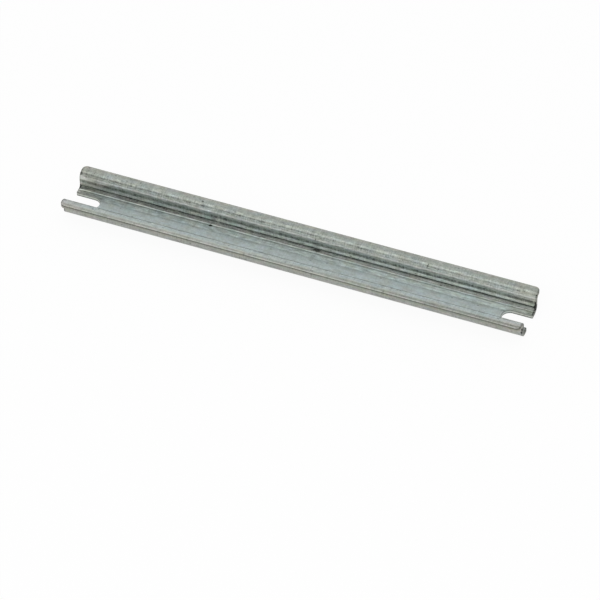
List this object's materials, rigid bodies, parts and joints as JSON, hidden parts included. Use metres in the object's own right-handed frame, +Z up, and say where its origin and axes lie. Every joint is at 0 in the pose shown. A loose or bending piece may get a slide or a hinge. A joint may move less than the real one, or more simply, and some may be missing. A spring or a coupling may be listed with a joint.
{
  "type": "din rail",
  "caption": "Narrow top hat DIN rail: a rolled steel channel with outturned flanges that clip-on modules grip, and an open-ended screw slot at each end.",
  "frame": {"origin": "centre of the rail's length and width, on the underside of its web, which is what it lies on", "axes": "+X along the rail, +Y across it from one flange to the other, +Z up, out of the open side of the channel"},
  "size_m": [0.119, 0.015, 0.0055],
  "materials": {
    "zinc_plated_steel": "dull zinc-plated cold-rolled sheet with rolling lines along its length and bare cut ends"
  },
  "bodies": {
    "root": {"rail": "zinc_plated_steel"}
  },
  "joints": []
}
